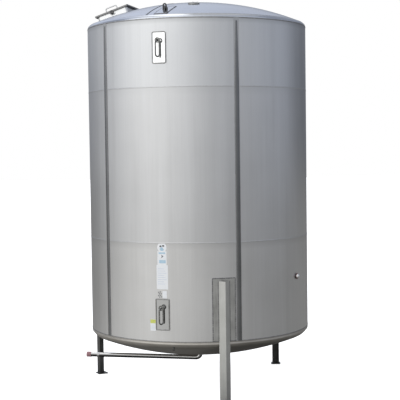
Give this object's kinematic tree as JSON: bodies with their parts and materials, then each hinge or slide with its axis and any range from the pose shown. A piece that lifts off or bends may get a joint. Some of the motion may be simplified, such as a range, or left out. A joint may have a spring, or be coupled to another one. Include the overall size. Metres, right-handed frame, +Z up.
{
  "type": "bulk milk tank",
  "caption": "Upright insulated stainless milk tank with dished ends, angle legs, tilted hinged manway lid, lifting links, dome lugs, cooling jacket and a bottom outlet pipe with cap.",
  "frame": {"origin": "centre of the three anchor holes, on the floor under the tank axis", "axes": "+Z up along the tank axis; -Y is the front with the side lifting plates; the outlet pipe runs towards -X"},
  "size_m": [2.5169, 2.4576, 4.191],
  "materials": {
    "brushed_cladding": "vertically brushed, satin",
    "foam": "rigid polyurethane foam",
    "vessel_steel": "smooth cold-rolled",
    "strip_steel": "satin",
    "head_steel": "satin, spun",
    "pad_steel": "dull mill finish",
    "leg_steel": "mill finish",
    "mirror_plate": "mirror polished",
    "label_film": null,
    "cap_plastic": "moulded",
    "gasket_rubber": "soft",
    "polished_steel": "polished",
    "bar_steel": "pickled bar",
    "tube_steel": "bright drawn tube",
    "fitting_steel": "satin"
  },
  "bodies": {
    "tank": {"catch_stud": "polished_steel", "cladding_lower_1": "brushed_cladding", "cladding_lower_2": "brushed_cladding", "cladding_lower_3": "brushed_cladding", "cladding_lower_4": "brushed_cladding", "cladding_lower_5": "brushed_cladding", "cladding_middle_1": "brushed_cladding", "cladding_middle_2": "brushed_cladding", "cladding_middle_3": "brushed_cladding", "cladding_middle_4": "brushed_cladding", "cladding_middle_5": "brushed_cladding", "cladding_top": "brushed_cladding", "coolant_stubs": "tube_steel", "cooling_jacket": "vessel_steel", "cover_strips": "strip_steel", "foam_bottom": "foam", "foam_top": "foam", "foam_wall": "foam", "foot_plate_1": "leg_steel", "foot_plate_2": "leg_steel", "foot_plate_3": "leg_steel", "hinge_brackets": "fitting_steel", "hinge_pin": "polished_steel", "inner_bottom": "vessel_steel", "inner_shell": "vessel_steel", "inner_top": "vessel_steel", "labels": "label_film", "leg_1": "leg_steel", "leg_2": "leg_steel", "leg_3": "leg_steel", "leg_pad_1": "pad_steel", "leg_pad_2": "pad_steel", "leg_pad_3": "pad_steel", "lift_eye_lower": "bar_steel", "lift_eye_upper": "bar_steel", "lift_plates": "mirror_plate", "lifting_lug_1": "fitting_steel", "lifting_lug_2": "fitting_steel", "lug_pads": "fitting_steel", "manway_neck": "fitting_steel", "outer_bottom": "head_steel", "outer_dome": "head_steel", "outlet_elbow": "tube_steel", "outlet_pipe": "tube_steel", "pipe_clip": "tube_steel", "probe_cap": "polished_steel", "probe_pocket": "fitting_steel", "spray_ball": "polished_steel", "spray_pipe": "tube_steel", "vent_cover": "fitting_steel", "vent_neck": "fitting_steel"},
    "lid": {"manway_lid": "fitting_steel", "manway_gasket": "gasket_rubber", "lid_handle": "fitting_steel", "lid_hinge_leaves": "fitting_steel", "catch_tongue": "fitting_steel"},
    "wing_nut": {"wing_nut": "polished_steel"},
    "upper_link": {"lift_link_upper": "bar_steel"},
    "lower_link": {"lift_link_lower": "bar_steel"},
    "outlet_cap": {"outlet_cap": "cap_plastic"}
  },
  "joints": [
    {"name": "lid_hinge", "type": "hinge", "parent": "tank", "child": "lid", "pos_m": [-0.82525, 0.46462, 4.11768], "axis": [-0.9199, 0.2413, -0.309], "range_deg": [0, 105]},
    {"name": "wing_nut_turn", "type": "hinge", "parent": "tank", "child": "wing_nut", "pos_m": [-0.93988, 0.00052, 4.09648], "axis": [-0.2538, -0.9673, 0], "continuous": true},
    {"name": "upper_link_swing", "type": "hinge", "parent": "tank", "child": "upper_link", "pos_m": [-0.39298, -1.18135, 3.675], "axis": [-0.3156, -0.9489, 0], "range_deg": [-25, 25]},
    {"name": "lower_link_swing", "type": "hinge", "parent": "tank", "child": "lower_link", "pos_m": [-0.39298, -1.18135, 0.979], "axis": [-0.3156, -0.9489, 0], "range_deg": [-25, 25]},
    {"name": "cap_pull", "type": "slide", "parent": "tank", "child": "outlet_cap", "axis": [-0.9705, 0.2411, -0.007], "range_m": [0, 0.09]}
  ]
}
